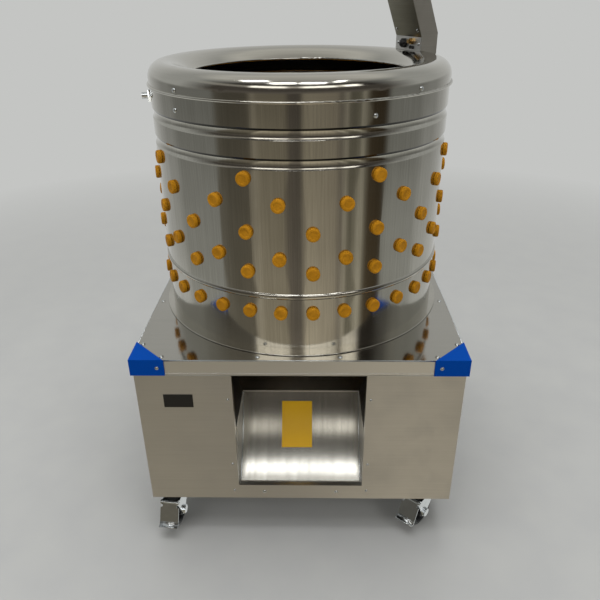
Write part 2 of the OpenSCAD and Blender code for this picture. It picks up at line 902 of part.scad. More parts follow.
module spray_ring() {
  jet_d = 3;
  color(bright) translate([0, 0, top_z + spray_z]) difference() {
    rotate([0, 0, inlet_a + 90 + spray_open])
      rotate_extrude(angle = 360 - spray_open, $fn = fine)
        translate([spray_ring_r, 0]) circle(spray_r, $fn = mid);
    for (i = [1:spray_holes - 2])
      rotate([0, 0, inlet_a + 90 + spray_open + i * (360 - spray_open) / spray_holes])
        translate([spray_ring_r - spray_r, 0, -spray_r / 2]) rotate([0, 60, 0])
          translate([0, 0, -spray_r]) cylinder(d = jet_d, h = 2 * spray_r, $fn = 16);
  }
}

module spray_clips() {
  arm = spray_gap + 2 * spray_r;
  bolt_l = drum_t + clip_t + 2 * seat_gap + over;
  color(bright) for (i = [0:clips - 1]) {
    around(clip_angle(i), drum_i - clip_t - seat_gap, top_z + clip_z)
      translate([-clip_w / 2, 0, 0]) difference() {
        union() {
          translate([0, -clip_t, 0]) cube([clip_w, clip_t, clip_leg]);
          cube([clip_w, arm - clip_t, clip_t]);
        }
        translate([clip_w / 2, over, clip_leg / 2]) rotate([90, 0, 0])
          cylinder(d = bolt_d + 2 * finger_fit, h = clip_t + 2 * over, $fn = mid);
      }
    radial(clip_angle(i), drum_r + seat_gap, top_z + clip_bolt_z) {
      cylinder(d = bolt_d, h = bolt_l, $fn = mid);
      mirror([0, 0, 1]) dome_head(screw_d, screw_h);
    }
  }
}

module water_inlet() {
  nut_d = 26;
  nut_t = 5;
  out = drum_r + seat_gap + nut_t;
  color(brass) radial(inlet_a, out + spigot_l, top_z + spray_z) difference() {
    union() {
      translate([0, 0, spigot_l]) cylinder(d = nut_d, h = nut_t, $fn = 6);
      cylinder(d = spigot_d, h = out + spigot_l - spray_ring_r - spray_r - seat_gap, $fn = mid);
    }
    translate([0, 0, -over]) cylinder(d = inlet_bore, h = spigot_l + nut_t, $fn = mid);
  }
}

// Control box

// Side profile between the inner face moved out by i and the outer face moved in by o
module box_side(i, o, top, foot) {
  lean_dir = [-sin(lean), cos(lean)];
  lean_out = [cos(lean), sin(lean)];
  inner_bend_i = [box_r + i, bend_z + i * tan(lean / 2)];
  outer_bend_o = [box_o - o, outer_bend - o * tan(lean / 2)];
  polygon([
    [box_r + i, foot], inner_bend_i, [box_r, bend_z] + lean_dir * top + lean_out * i,
    [box_r, bend_z] + lean_dir * top + lean_out * (box_d - o), outer_bend_o, [box_o - o, foot]
  ]);
}

module rim_cut() {
  rotate([0, 0, box_a]) rotate_extrude($fn = 2 * fine) rim_section(-seat_gap);
}

module control_box() {
  deep = 3 * lip_r;
  color(dark_steel) at_box() difference() {
    across(box_w) box_side(box_t, 0, box_l, box_foot);
    across(box_w - 2 * box_t) box_side(-box_t, box_t, box_l - box_t, box_foot - deep);
    rim_cut();
    for (s = button_at) rotate([0, 0, box_a]) translate([0, 0, -top_z]) on_panel(s)
      translate([0, 0, -4 * box_t]) cylinder(d = button_hole, h = 8 * box_t, $fn = mid);
  }
}

module control_cover() {
  color(dark_steel) at_box() difference() {
    across(box_w) box_side(0, box_d - box_t, box_l, box_foot);
    translate([-box_w, 0, 0]) cube([2 * box_w, 2 * box_o, bend_z + box_t * tan(lean / 2)]);
  }
}

module gland_plate() {
  color(steel) at_box() difference() {
    across(box_w) box_side(0, box_d - box_t, box_l, box_foot);
    translate([-box_w, 0, bend_z]) cube([2 * box_w, 2 * box_o, box_l]);
    rim_cut();
  }
}

module control_screws() {
  side = 8;
  end = 14;
  x = box_w / 2 - side;
  color(bright) for (sx = [-x, x]) {
    on_neck(sx, bend_z - end) dome_head(small_screw_d, small_screw_h);
    for (s = [end, box_l - end]) on_cover(sx, s) dome_head(small_screw_d, small_screw_h);
  }
}

module cable_glands() {
  gland = [-14, 14];
  nut_d = 21;
  nut_t = 4;
  dome_d = 18;
  dome_h = 8;
  plug_x = [10, 19];
  plug_drop = 21;
  plug_d = 7;
  color(black) {
    on_neck(gland[0], bend_z - gland[1]) {
      cylinder(d = nut_d, h = nut_t, $fn = 6);
      translate([0, 0, nut_t]) dome_head(dome_d, dome_h);
    }
    for (x = plug_x) on_neck(x, bend_z - plug_drop) dome_head(plug_d, nut_t);
  }
}

module brass_fitting() {
  at = [14, 9];
  nut_d = 14;
  nut_t = 5;
  stem_d = 8;
  stem_l = 6;
  color(brass) on_neck(at[0], bend_z - at[1]) {
    cylinder(d = nut_d, h = nut_t, $fn = 6);
    translate([0, 0, nut_t]) cylinder(d = stem_d, h = stem_l, $fn = mid);
  }
}

// Buttons on the operator side

module bezel(bore) {
  difference() {
    cylinder(d = bore + 2 * bezel_w, h = bezel_h, $fn = mid);
    translate([0, 0, -over]) cylinder(d = bore, h = bezel_h + 2 * over, $fn = mid);
  }
}

module button_bezels() {
  color(bright) for (i = [0, 1]) on_panel(button_at[i]) bezel(button_d + 2 * move_gap);
}

module stop_collar() {
  color(yellow) on_panel(button_at[2]) difference() {
    cylinder(d = stop_head_d + 4 * bezel_w, h = collar_h, $fn = mid);
    translate([0, 0, -over]) cylinder(d = button_d + 2 * run_fit, h = collar_h + 2 * over, $fn = mid);
  }
}

module push_button(i) {
  on_panel(button_at[i]) {
    translate([0, 0, -button_depth])
      cylinder(d = button_d, h = button_depth + bezel_h + button_travel, $fn = mid);
    translate([0, 0, bezel_h + button_travel]) dome_head(button_d, 1);
  }
}

module start_button() {
  color(green) push_button(0);
}

module stop_button() {
  color(red) push_button(1);
}

module emergency_stop() {
  head_h = 8;
  crown = 6;
  stem = collar_h + button_travel + move_gap;
  color(red) on_panel(button_at[2]) {
    translate([0, 0, -button_depth]) cylinder(d = button_d, h = button_depth + stem + over, $fn = mid);
    translate([0, 0, stem]) cylinder(d1 = stop_head_d - crown, d2 = stop_head_d, h = head_h, $fn = mid);
    translate([0, 0, stem + head_h]) dome_head(stop_head_d, crown);
  }
}

// Casters

module caster_plates() {
  color(bright) for (i = [0:3]) at_caster(i) rotate([0, 0, -swivel_rest[i]]) difference() {
    union() {
      translate([-caster_plate_w / 2, -caster_plate_w / 2, caster_h - mount_t])
        cube([caster_plate_w, caster_plate_w, mount_t]);
      translate([0, 0, caster_h - mount_t - race_h]) cylinder(r = race_r, h = race_h + 1, $fn = mid);
    }
    translate([0, 0, caster_h - mount_t - race_h - over])
      cylinder(d = king_d + 2 * run_fit, h = race_h + over, $fn = mid);
  }
}

// Side plate of a fork, in Y and Z
module fork_side() {
  boss_wall = 5;
  ear_wall = 3;
  boss_r = axle_d / 2 + boss_wall;
  ear_r = pedal_pin_d / 2 + ear_wall;
  foot_z = crown_z - crown_h;
  difference() {
    union() {
      polygon([[-crown_r * 0.75, foot_z + 1], [crown_r * 0.75, foot_z + 1], [pedal_y + ear_r, pedal_z],
        [trail + boss_r, axle_z], [trail - boss_r, axle_z]]);
      translate([trail, axle_z]) circle(boss_r, $fn = mid);
      translate([pedal_y, pedal_z]) circle(ear_r, $fn = mid);
    }
    translate([trail, axle_z]) circle(axle_d / 2 + run_fit, $fn = mid);
    translate([pedal_y, pedal_z]) circle(pedal_pin_d / 2 + run_fit, $fn = mid);
  }
}

module caster_fork(i) {
  nut_t = 5;
  nut_d = axle_d + 8;
  span = fork_gap + 2 * fork_t;
  color(bright) at_caster(i) {
    translate([0, 0, crown_z - crown_h]) cylinder(r = crown_r, h = crown_h, $fn = mid);
    translate([0, 0, crown_z - over]) cylinder(d = king_d, h = race_h + over, $fn = mid);
    for (x = [-1, 1]) translate([x * (fork_gap + fork_t) / 2, 0, 0]) across(fork_t) fork_side();
    translate([-span / 2 - nut_t, trail, axle_z]) rotate([0, 90, 0]) {
      translate([0, 0, nut_t]) cylinder(d = axle_d, h = span, $fn = mid);
      cylinder(d = nut_d, h = nut_t, $fn = 6);
      translate([0, 0, span + nut_t]) cylinder(d = nut_d, h = nut_t, $fn = 6);
    }
  }
}

module caster_fork_fl() {
  caster_fork(0);
}

module caster_fork_fr() {
  caster_fork(1);
}

module caster_fork_rl() {
  caster_fork(2);
}

module caster_fork_rr() {
  caster_fork(3);
}

module caster_wheel(i) {
  tread = 9;
  soft = 5;
  web = 4;
  hub_wall = 8;
  r = wheel_d / 2;
  core = r - tread;
  w = wheel_w / 2;
  hub_w = fork_gap / 2 - move_gap;
  bore = axle_d / 2 + run_fit;
  color(black) at_caster(i) translate([0, trail, axle_z]) rotate([0, 90, 0]) rotate_extrude($fn = fine) {
    translate([core, -w]) square([r - core - soft, 2 * w]);
    translate([core, soft - w]) square([r - core, 2 * (w - soft)]);
    for (s = [-1, 1]) translate([r - soft, s * (w - soft)]) circle(soft, $fn = mid);
    translate([bore, -hub_w]) square([hub_wall, 2 * hub_w]);
    translate([bore + hub_wall - over, -web]) square([core - bore - hub_wall + 2 * over, 2 * web]);
    translate([core - web + over, web / 2 - w]) square([web, 2 * w - web]);
  }
}

module caster_wheel_fl() {
  caster_wheel(0);
}

module caster_wheel_fr() {
  caster_wheel(1);
}

module caster_wheel_rl() {
  caster_wheel(2);
}

module caster_wheel_rr() {
  caster_wheel(3);
}

module brake_pedal(i) {
  neck_w = fork_gap - 2 * move_gap;
  neck_l = pedal_pin_d / 2 + 4 * pedal_t;
  pin_l = fork_gap + 2 * (fork_t + pedal_t);
  color(bright) at_caster(i) translate([0, pedal_y, pedal_z]) {
    translate([-pin_l / 2, 0, 0]) rotate([0, 90, 0]) cylinder(d = pedal_pin_d, h = pin_l, $fn = mid);
    rotate([-pedal_drop, 0, 0]) {
      translate([-neck_w / 2, 0, 0]) cube([neck_w, neck_l + 1, pedal_t]);
      translate([-pedal_w / 2, neck_l, 0]) cube([pedal_w, pedal_l - neck_l, pedal_t]);
      translate([-pedal_w / 2, pedal_l, 2.5 * pedal_t]) rotate([0, 90, 0])
        rotate_extrude(angle = 90, start = 0, $fn = mid)
          translate([1.5 * pedal_t, 0]) square([pedal_t, pedal_w]);
    }
  }
}

module brake_pedal_left() {
  brake_pedal(0);
}

module brake_pedal_right() {
  brake_pedal(1);
}

frame_posts();
frame_rails();
top_plate();
front_panel_left();
front_panel_right();
front_sill();
side_panel_left();
side_panel_right();
rear_panel();
feather_hopper();
feather_chute();
corner_guards();
rivets();
plate_screws();
drum();
rim_cover();
rim_screws();
drum_fingers_row_1();
drum_fingers_row_2();
drum_fingers_row_3();
drum_fingers_row_4();
drum_fingers_row_5();
drum_fingers_row_6();
spray_ring();
spray_clips();
water_inlet();
control_box();
control_cover();
gland_plate();
control_screws();
cable_glands();
brass_fitting();
button_bezels();
stop_collar();
start_button();
stop_button();
emergency_stop();
upper_bearing();
lower_bearing();
bearing_bolts();
motor_plate();
motor_body();
v_belt();
feather_plate();
plate_fingers();
main_shaft();
driven_pulley();
motor_shaft();
drive_pulley();
caster_plates();
caster_fork_fl();
caster_fork_fr();
caster_fork_rl();
caster_fork_rr();
caster_wheel_fl();
caster_wheel_fr();
caster_wheel_rl();
caster_wheel_rr();
brake_pedal_left();
brake_pedal_right();
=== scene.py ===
import math

import bmesh
import bpy
from mathutils import Matrix, Vector


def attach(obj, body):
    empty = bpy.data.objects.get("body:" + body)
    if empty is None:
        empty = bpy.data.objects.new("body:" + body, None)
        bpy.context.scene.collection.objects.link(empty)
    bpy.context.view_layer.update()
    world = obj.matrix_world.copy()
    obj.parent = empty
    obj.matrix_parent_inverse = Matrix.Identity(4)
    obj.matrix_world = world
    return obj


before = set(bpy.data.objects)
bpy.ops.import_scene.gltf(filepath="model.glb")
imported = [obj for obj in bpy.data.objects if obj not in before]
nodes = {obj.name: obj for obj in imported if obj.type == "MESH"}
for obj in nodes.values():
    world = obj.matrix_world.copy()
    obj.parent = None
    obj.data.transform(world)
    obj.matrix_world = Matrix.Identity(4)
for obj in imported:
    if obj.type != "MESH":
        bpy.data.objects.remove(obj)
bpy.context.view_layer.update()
scene = bpy.context.scene
scene.view_settings.view_transform = "Standard"

# Camera
# A wide view from head height, close in front of the machine and a little to its right,
# tipped down so that rim, drum and base fill the square picture.
eye, sensor_width, lens = (0.0263, -1.2996, 1.0944), 36, 36.11
yaw, pitch, roll = (math.radians(a) for a in (-1.33, 27.36, -0.61))
ahead = Vector((math.sin(yaw) * math.cos(pitch), math.cos(yaw) * math.cos(pitch), -math.sin(pitch)))
level = Vector((math.cos(yaw), -math.sin(yaw), 0))
above = level.cross(ahead)
right = math.cos(roll) * level + math.sin(roll) * above
upward = math.cos(roll) * above - math.sin(roll) * level
camera = bpy.data.objects.new("camera", bpy.data.cameras.new("camera"))
scene.collection.objects.link(camera)
camera.matrix_world = Matrix((right, upward, -ahead)).transposed().to_4x4()
camera.location = eye
camera.data.sensor_width = sensor_width
camera.data.lens = lens
scene.camera = camera


# Studio floor and light
# A pale sealed floor under wide soft lamps. Tall cards stand round the machine, brown-grey
# in front and pale behind, with four ceiling panels, so bright steel has a room to mirror.
def linear(hex_colour):
    channels = [int(hex_colour[i:i + 2], 16) / 255 for i in (1, 3, 5)]
    return [c / 12.92 if c <= 0.04045 else ((c + 0.055) / 1.055) ** 2.4 for c in channels] + [1]


def add(tree, kind, inputs=(), **settings):
    node = tree.nodes.new("ShaderNode" + kind)
    for name, value in settings.items():
        setattr(node, name, value)
    for socket, value in dict(inputs).items():
        if isinstance(value, bpy.types.NodeSocket):
            tree.links.new(value, node.inputs[socket])
        else:
            node.inputs[socket].default_value = value
    return node


def colours(tree, factor, stops):
    node = add(tree, "ValToRGB", {"Fac": factor})
    while len(node.color_ramp.elements) < len(stops):
        node.color_ramp.elements.new(0.5)
    for element, (place, colour) in zip(node.color_ramp.elements, stops):
        element.position = place
        element.color = linear(colour)
    return node.outputs["Color"]


def new_material(name):
    material = bpy.data.materials.new(name)
    material.use_nodes = True
    tree = material.node_tree
    return material, tree, tree.nodes["Principled BSDF"]


def new_piece(name, shape, material):
    mesh = bpy.data.meshes.new(name)
    shape.to_mesh(mesh)
    shape.free()
    mesh.materials.append(material)
    piece = bpy.data.objects.new(name, mesh)
    scene.collection.objects.link(piece)
    return piece


sealed_floor, tree, shader = new_material("sealed_concrete_pale")
# Sealed concrete: pale, smooth and nearly even, with a faint cloudiness a hand wide
spot = add(tree, "TexCoord").outputs["Object"]
clouds = add(tree, "TexNoise", {"Vector": spot, "Scale": 9.0, "Detail": 2.0})
paint = colours(tree, clouds.outputs[0], [(0.3, "#B6B7B7"), (0.7, "#BABBBA")])
shader.inputs["Specular IOR Level"].default_value = 0.0
# Away from the machine the floor glows like the backdrop, so no edge shows between the two
backdrop = linear("#C4C5C3")
fade_start, fade_end, floor_half = 0.7, 3.0, 6
away = add(tree, "VectorMath", {0: spot}, operation="LENGTH")
glow = add(tree, "MapRange", {0: away.outputs["Value"], 1: fade_start, 2: fade_end, 3: 0, 4: 1})
shader.inputs["Emission Color"].default_value = backdrop
tree.links.new(glow.outputs[0], shader.inputs["Emission Strength"])
faded = add(tree, "MixRGB", {0: glow.outputs[0], 1: paint, 2: (0, 0, 0, 1)})
tree.links.new(faded.outputs[0], shader.inputs["Base Color"])
shape = bmesh.new()
bmesh.ops.create_grid(shape, x_segments=1, y_segments=1, size=floor_half)
floor = new_piece("studio_floor", shape, sealed_floor)
floor.visible_glossy = False

studio = bpy.data.worlds.new("studio")
studio.use_nodes = True
scene.world = studio
tree = studio.node_tree
direction = add(tree, "SeparateXYZ", {0: add(tree, "TexCoord").outputs["Generated"]})
toward = add(tree, "Math", {0: direction.outputs["Y"], 1: -1}, operation="MULTIPLY")
angle = add(tree, "Math", {0: direction.outputs["X"], 1: toward.outputs[0]}, operation="ARCTAN2")
turn = add(tree, "MapRange", {0: angle.outputs[0], 1: -math.pi, 2: math.pi, 3: 0, 4: 1})
# Places are degrees from the front, to the right
cards = colours(tree, turn.outputs[0], [(degrees / 360 + 0.5, colour) for degrees, colour in (
    (-180, "#B4B5B2"), (-112, "#B0B1AE"), (-104, "#989995"), (-66, "#939490"), (-62, "#6C685E"),
    (-54, "#605C52"), (-37, "#625D52"), (-33, "#A59E8E"), (-30, "#8A8373"), (-9, "#878070"),
    (-7, "#625C54"), (2, "#5D5850"), (3.5, "#A69E8C"), (28, "#989080"), (31, "#716B62"),
    (36, "#ABA595"), (38, "#6A6659"), (46, "#757163"), (48, "#BAB5A5"), (51, "#7A7567"),
    (54, "#483F31"), (67, "#403729"), (71, "#949590"), (101, "#989995"), (110, "#B0B1AE"), (180, "#B4B5B2"))])
height = direction.outputs["Z"]
# Far ceiling lights stand between 29 and 41 degrees up, in the same gaps as the bright cards;
# heights here are sines of the angle above the floor
lights_low, lights_high, lights_gain = (0.485, 0.51), (0.62, 0.66), 2.9
lights = colours(tree, turn.outputs[0], [(degrees / 360 + 0.5, colour) for degrees, colour in (
    (-180, "#5B5954"), (-40, "#5B5954"), (-37, "#E6E3DC"), (-10, "#E2DFD8"), (-8, "#706C65"), (2, "#706C65"),
    (4, "#EAE7E0"), (29, "#E4E1DA"), (31, "#95918A"), (35, "#95918A"), (37, "#EFECE5"), (48, "#EFECE5"),
    (51, "#1E1C1A"), (76, "#1E1C1A"), (90, "#6B6963"), (180, "#6B6963"))])
bright = add(tree, "VectorMath", {0: lights, "Scale": lights_gain}, operation="SCALE")
front_sky = colours(tree, height, [
    (0.0, "#6E6962"), (0.2, "#4B4742"), (0.47, "#4B4742"),
    (0.74, "#35332F"), (0.82, "#6E6C68"), (1.0, "#8F8E8B")])
rising = add(tree, "MapRange", {0: height, 1: lights_low[0], 2: lights_low[1], 3: 0, 4: 1})
falling = add(tree, "MapRange", {0: height, 1: lights_high[0], 2: lights_high[1], 3: 1, 4: 0})
window = add(tree, "Math", {0: rising.outputs[0], 1: falling.outputs[0]}, operation="MULTIPLY")
front_sky = add(tree, "MixRGB", {0: window.outputs[0], 1: front_sky, 2: bright.outputs[0]}).outputs[0]
back_sky = colours(tree, height, [(0.0, "#B4B6B4"), (0.7, "#AAACAA"), (0.85, "#CFCFCA"), (1.0, "#BDBDB8")])
rear_start, rear_end, horizon = -0.4, 0.12, 0.08
behind = add(tree, "MapRange", {0: direction.outputs["Y"], 1: rear_start, 2: rear_end, 3: 0, 4: 1})
sky = add(tree, "MixRGB", {0: behind.outputs[0], 1: front_sky, 2: back_sky})
upper = add(tree, "MapRange", {0: height, 1: 0.0, 2: horizon, 3: 0, 4: 1})
# The cards brighten towards their feet
card_top, card_foot, top_gain, foot_gain = -0.15, -0.62, 0.62, 1.6
lift = add(tree, "MapRange", {0: height, 1: card_top, 2: card_foot, 3: top_gain, 4: foot_gain})
lower = add(tree, "VectorMath", {0: cards, "Scale": lift.outputs[0]}, operation="SCALE")
room = add(tree, "MixRGB", {0: upper.outputs[0], 1: lower.outputs[0], 2: sky.outputs[0]})
path = add(tree, "LightPath")
# The backdrop shows to the eye all round, and to mirrored and refracted rays where they run backwards
bent = add(tree, "Math", {0: path.outputs["Is Glossy Ray"], 1: path.outputs["Is Transmission Ray"]},
           operation="MAXIMUM")
back_start, back_end = 0.5, 0.9
backward = add(tree, "MapRange", {0: direction.outputs["Y"], 1: back_start, 2: back_end, 3: 0, 4: 1})
returned = add(tree, "Math", {0: bent.outputs[0], 1: backward.outputs[0]}, operation="MULTIPLY")
shown = add(tree, "Math", {0: path.outputs["Is Camera Ray"], 1: returned.outputs[0]}, operation="MAXIMUM")
seen = add(tree, "MixRGB", {0: shown.outputs[0], 1: room.outputs[0], 2: backdrop})
background = add(tree, "Background", {"Color": seen.outputs[0], "Strength": 1.0})
tree.links.new(background.outputs[0], tree.nodes["World Output"].inputs[0])
for spare in [n for n in tree.nodes if n.bl_idname == "ShaderNodeBackground" and n != background]:
    tree.nodes.remove(spare)

aim = Vector((0, 0, 0.5))
# Wide softboxes give the even light; the ceiling panels are the ones that bright steel mirrors
for name, place, size, power, mirrored in (
        ("softbox_top", (0, 0.2, 2.8), (2.0, 2.0), 47, False),
        ("softbox_left", (-1.7, -1.9, 1.7), (1.2, 1.2), 8.5, False),
        ("softbox_right", (1.7, -1.9, 1.7), (1.2, 1.2), 8.5, False),
        ("ceiling_panel_outer", (-0.72, -0.62, 2.6), (0.5, 0.3), 2.1, True),
        ("ceiling_panel_left", (-0.31, -1.22, 2.6), (0.5, 0.4), 2.9, True),
        ("ceiling_panel_right", (0.3, -1.22, 2.6), (0.5, 0.4), 2.9, True),
        ("ceiling_panel_end", (0.74, -0.85, 2.6), (0.2, 0.4), 1.1, True)):
    lamp = bpy.data.objects.new(name, bpy.data.lights.new(name, "AREA"))
    lamp.data.shape = "RECTANGLE"
    lamp.data.size, lamp.data.size_y = size
    lamp.data.energy = power
    lamp.location = place
    if not mirrored:
        lamp.rotation_euler = (aim - Vector(place)).to_track_quat("-Z", "Y").to_euler()
    lamp.visible_glossy = mirrored
    scene.collection.objects.link(lamp)


# Tube frame and drive bed
# Welded square steel tube, dulled by pickling after welding. It carries the casters,
# the panels, both bearings and the motor, and is hidden when the panels are on.
def dress(material, *names):
    for name in names:
        mesh = nodes[name].data
        mesh.materials.clear()
        mesh.materials.append(material)


def ground_steel(name, tint, roughness, stretch, anisotropic, relief):
    # Grit lines are 0.2 mm apart; they are drawn about ten times coarser so that they show.
    # Handling leaves dull patches some 50 mm wide
    material, tree, shader = new_material(name)
    spot = add(tree, "TexCoord").outputs["Object"]
    drawn = add(tree, "Mapping", {"Vector": spot, "Scale": stretch}).outputs[0]
    lines = add(tree, "TexNoise", {"Vector": drawn, "Scale": 1.0, "Detail": 3.0, "Roughness": 0.6})
    clouds = add(tree, "TexNoise", {"Vector": spot, "Scale": 7.0, "Detail": 2.0})
    mixed = add(tree, "Math", {0: lines.outputs[0], 1: clouds.outputs[0]}, operation="ADD")
    share = add(tree, "MapRange", {0: mixed.outputs[0], 1: 0.6, 2: 1.4, 3: 0, 4: 1}).outputs[0]
    shader.inputs["Metallic"].default_value = 1.0
    tree.links.new(colours(tree, share, [(0.0, tint[0]), (1.0, tint[1])]), shader.inputs["Base Color"])
    handled = add(tree, "TexNoise", {"Vector": spot, "Scale": 20.0, "Detail": 4.0, "Roughness": 0.65})
    dull = add(tree, "MapRange", {0: handled.outputs[0], 1: 0.45, 2: 0.75,
                                  3: roughness * 0.95, 4: roughness * 1.18})
    tree.links.new(dull.outputs[0], shader.inputs["Roughness"])
    bump = add(tree, "Bump", {"Height": lines.outputs[0], "Strength": relief, "Distance": 0.0002})
    tree.links.new(bump.outputs[0], shader.inputs["Normal"])
    if anisotropic:
        shader.inputs["Anisotropic"].default_value = anisotropic
        shader.inputs["Anisotropic Rotation"].default_value = 0.25
        tangent = add(tree, "Tangent", direction_type="RADIAL", axis="Z")
        tree.links.new(tangent.outputs[0], shader.inputs["Tangent"])
    return material


level_grain = (8, 8, 420)
# Pickled tube: mid grey and dull, with faint drawn lines
frame_steel = ground_steel("pickled_steel_tube", ("#6E6C68", "#7E7C77"), 0.5, level_grain, 0.0, 0.2)
dress(frame_steel, "frame_posts", "frame_rails", "motor_plate")

# Casters
# Pressed zinc-plated forks that swivel on a ball race under a bolted plate, each with a
# grey rubber wheel; the front two carry a pressed foot brake with a curled lip.
spangle = (60, 60, 60)
# Bright zinc: a cold, clean mirror with spangles about 15 mm wide and no grain
zinc = ground_steel("bright_zinc_plate", ("#C9CDCF", "#DADEE0"), 0.17, spangle, 0.0, 0.05)
dress(zinc, "caster_plates", "caster_fork_fl", "caster_fork_fr", "caster_fork_rl", "caster_fork_rr",
      "brake_pedal_left", "brake_pedal_right")


def moulded(name, low, high, roughness):
    # A moulded skin: even colour with a fine spark-eroded grain about 1 mm wide
    material, tree, shader = new_material(name)
    spot = add(tree, "TexCoord").outputs["Object"]
    grain = add(tree, "TexNoise", {"Vector": spot, "Scale": 900.0, "Detail": 2.0})
    tree.links.new(colours(tree, grain.outputs[0], [(0.3, low), (0.7, high)]), shader.inputs["Base Color"])
    bump = add(tree, "Bump", {"Height": grain.outputs[0], "Strength": 0.1, "Distance": 0.0002})
    tree.links.new(bump.outputs[0], shader.inputs["Normal"])
    shader.inputs["Roughness"].default_value = roughness
    return material


# Tyre rubber: dark grey and matt
dress(moulded("rubber_tyre_grey", "#2A2C2E", "#36383A", 0.6), "caster_wheel_fl", "caster_wheel_fr",
      "caster_wheel_rl", "caster_wheel_rr")

caster_x, caster_front, caster_rear, nut_reach = 0.284, -0.268, 0.276, 0.031
plate_under, nut_height, nut_radius, nut_chamfer = 0.096, 0.006, 0.0065, 0.0006
shape = bmesh.new()
for x in (-caster_x, caster_x):
    for y in (caster_front, caster_rear):
        for along in (-nut_reach, nut_reach):
            for aside in (-nut_reach, nut_reach):
                place = Matrix.Translation((x + along, y + aside, plate_under - nut_height / 2))
                bmesh.ops.create_cone(shape, cap_ends=True, segments=6, radius1=nut_radius,
                                      radius2=nut_radius, depth=nut_height, matrix=place)
bmesh.ops.bevel(shape, geom=shape.edges[:], offset=nut_chamfer, affect="EDGES", segments=2,
                profile=0.5, material=-1)
caster_nuts = new_piece("caster_nuts", shape, zinc)
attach(caster_nuts, "base")

# Each pedal ends in a wide rolled lip for the toe
pedal_pin, pedal_slope, pedal_length = Vector((0, 0.054, 0.0805)), math.radians(66), 0.044
pedal_thick, lip_radius, lip_half, lip_thick = 0.002, 0.009, 0.021, 0.0016
lip_turn = math.radians(84)
pedal_along = Vector((0, math.cos(pedal_slope), -math.sin(pedal_slope)))
pedal_out = Vector((0, math.sin(pedal_slope), math.cos(pedal_slope)))
lip_start = pedal_pin + pedal_along * pedal_length + pedal_out * pedal_thick
lip_centre = lip_start + pedal_out * lip_radius
for side, x, rest_angle in (("left", -caster_x, 173), ("right", caster_x, 139)):
    place = Matrix.Translation((x, caster_front, 0)) @ Matrix.Rotation(math.radians(rest_angle), 4, "Z")
    shape = bmesh.new()
    ends = [shape.verts.new(place @ (lip_start + Vector((reach, 0, 0)))) for reach in (-lip_half, lip_half)]
    edge = shape.edges.new(ends)
    bmesh.ops.spin(shape, geom=ends + [edge], cent=place @ lip_centre,
                   axis=place.to_3x3() @ Vector((1, 0, 0)), angle=lip_turn, steps=14, use_merge=False)
    bmesh.ops.recalc_face_normals(shape, faces=shape.faces[:])
    bmesh.ops.solidify(shape, geom=shape.faces[:], thickness=-lip_thick)
    for face in shape.faces:
        face.smooth = True
    lip = new_piece("pedal_lip_" + side, shape, zinc)
    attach(lip, "pedal_" + side)

# Side, front and rear panels
# Stainless sheet with a fine ground finish, folded round the feather outlet and riveted to
# the frame; the blank black plate is glued to the left front panel.
panel_face = -0.325
# Ground sheet: pale grey, softly shining, with level lines
panel_steel = ground_steel("ground_stainless_panel", ("#CCCBC9", "#D6D5D3"), 0.38, level_grain, 0.5, 0.15)
dress(panel_steel, "front_panel_left", "front_panel_right", "front_sill", "side_panel_left",
      "side_panel_right", "rear_panel", "feather_hopper")

plate_low, plate_high = Vector((-0.272, 0.347)), Vector((-0.213, 0.3775))
plate_thick, plate_round = 0.0012, 0.0004
shape = bmesh.new()
bmesh.ops.create_cube(shape, size=1)
middle, wide = (plate_low + plate_high) / 2, plate_high - plate_low
bmesh.ops.scale(shape, vec=(wide.x, plate_thick, wide.y), verts=shape.verts)
bmesh.ops.translate(shape, vec=(middle.x, panel_face - plate_thick / 2, middle.y), verts=shape.verts)
bmesh.ops.bevel(shape, geom=shape.edges[:], offset=plate_round, affect="EDGES", segments=2,
                profile=0.5, material=-1)
# Satin vinyl: nearly black with a soft shine
black_vinyl = moulded("vinyl_black_satin", "#0C0C0C", "#121212", 0.4)
blank_plate = new_piece("blank_plate", shape, black_vinyl)
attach(blank_plate, "base")

# Feather chute
# A scoop of bright stainless rolled to a quarter round and welded between two cheeks, so that
# a bright bead runs up each corner; a plain yellow film patch is stuck on its face.
scoop_grain, scoop_polish, cheek_polish = (110, 5, 5), 0.22, 0.5
# Polished sheet: bright, with streaks some 9 mm wide that run down the scoop
scoop_steel = ground_steel("polished_stainless_scoop", ("#AFADA5", "#D3D1C9"), scoop_polish,
                           scoop_grain, 0.0, 0.05)
# The cheeks are ground after welding, which leaves them pale and dull beside the bright scoop
tree = scoop_steel.node_tree
shader = tree.nodes["Principled BSDF"]
across = add(tree, "SeparateXYZ", {0: add(tree, "TexCoord").outputs["Object"]}).outputs["X"]
aside = add(tree, "Math", {0: across}, operation="ABSOLUTE")
cheek_inside, cheek_metal = 0.1311, 0.35
cheek = add(tree, "Math", {0: aside.outputs[0], 1: cheek_inside}, operation="GREATER_THAN").outputs[0]
finish = add(tree, "MapRange", {0: cheek, 1: 0, 2: 1, 3: scoop_polish, 4: cheek_polish})
tree.links.new(finish.outputs[0], shader.inputs["Roughness"])
body = add(tree, "MapRange", {0: cheek, 1: 0, 2: 1, 3: 1.0, 4: cheek_metal})
tree.links.new(body.outputs[0], shader.inputs["Metallic"])
dress(scoop_steel, "feather_chute")

chute_front, chute_foot, chute_depth, chute_rise = -0.3115, 0.1387, 0.128, 0.1451
slope_low = math.radians(28)
slope_high = 2 * math.atan2(chute_rise, chute_depth) - slope_low
scoop_radius = chute_depth / (math.sin(slope_high) - math.sin(slope_low))
scoop_axis = Vector((0, chute_front - scoop_radius * math.sin(slope_low),
                     chute_foot + scoop_radius * math.cos(slope_low)))


def on_scoop(x, slope, lift):
    reach = scoop_radius - lift
    return scoop_axis + Vector((x, reach * math.sin(slope), -reach * math.cos(slope)))


